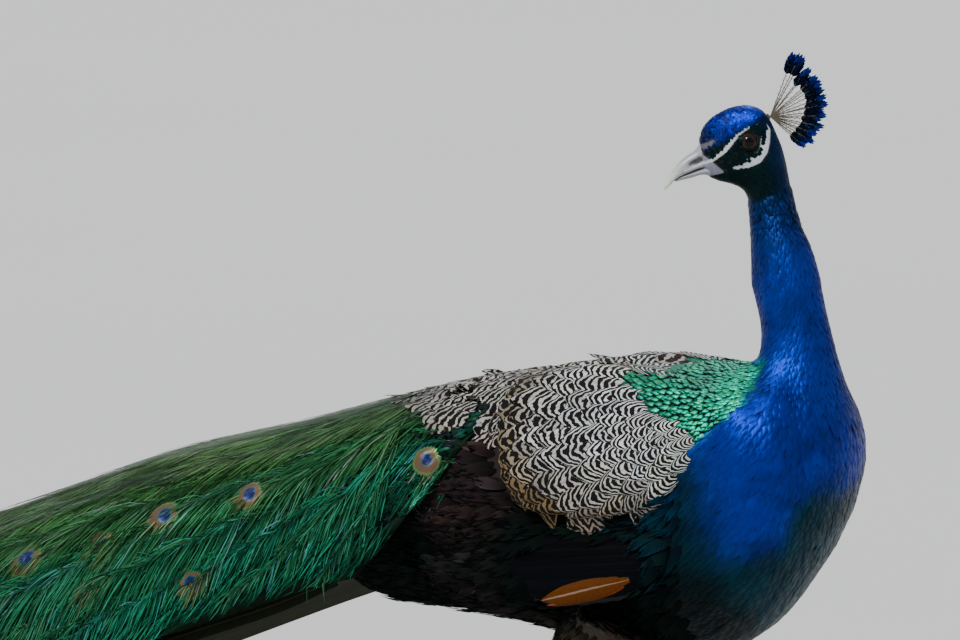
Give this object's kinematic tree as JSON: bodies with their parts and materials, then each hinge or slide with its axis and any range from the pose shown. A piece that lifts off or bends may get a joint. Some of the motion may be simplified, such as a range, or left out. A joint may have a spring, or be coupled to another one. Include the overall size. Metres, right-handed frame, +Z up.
{
  "type": "peacock",
  "caption": "Still life-size Indian peafowl cock standing on both feet, head turned back over its right side, with its folded train trailing to the floor behind it.",
  "frame": {"origin": "centre of the bounding box at floor level, under the train's root", "axes": "+X the way the body heads, +Y to the bird's left, +Z up; the train's tip is at -X"},
  "size_m": [1.649, 0.384, 0.6932],
  "materials": {
    "head": "tiny glossy blue feathers, with bare white skin round the eye",
    "neck": "glossy deep blue feathers",
    "breast": "glossy blue feathers, dark green on the belly",
    "bill": "pale grey horn, satin",
    "eye": "wet dark brown",
    "crest": "dark blue velvety tips on pale bare quills",
    "barred": "black and buff barred feathers, matt",
    "dark_quills": "black feathers with a blue gloss",
    "rufous_quills": "chestnut feathers, matt",
    "train": "bronze-green loose barbs with blue and copper eye spots, iridescent",
    "tail": "grey-brown feathers, matt",
    "thigh": "buff-brown downy feathers",
    "leg": "grey-brown scaled skin",
    "claw": "dark horn, satin"
  },
  "bodies": {
    "root": {"head": "head", "neck_upper": "neck", "neck_lower": "neck", "trunk": "breast", "bill_upper": "bill", "bill_lower": "bill", "eye_left": "eye", "eye_right": "eye", "crest": "crest", "wing_left_coverts": "barred", "wing_left_scapulars": "barred", "wing_right_coverts": "barred", "wing_right_scapulars": "barred", "wing_left_secondaries": "dark_quills", "wing_right_secondaries": "dark_quills", "wing_left_primaries": "rufous_quills", "wing_right_primaries": "rufous_quills", "train_base": "train", "train_middle": "train", "train_far": "train", "train_end": "train", "tail": "tail", "thigh_left": "thigh", "thigh_right": "thigh", "shank_left": "leg", "shank_right": "leg", "foot_left": "leg", "foot_right": "leg", "spur_left": "claw", "spur_right": "claw", "claw_left_inner": "claw", "claw_left_middle": "claw", "claw_left_outer": "claw", "claw_left_hind": "claw", "claw_right_inner": "claw", "claw_right_middle": "claw", "claw_right_outer": "claw", "claw_right_hind": "claw"}
  },
  "joints": []
}
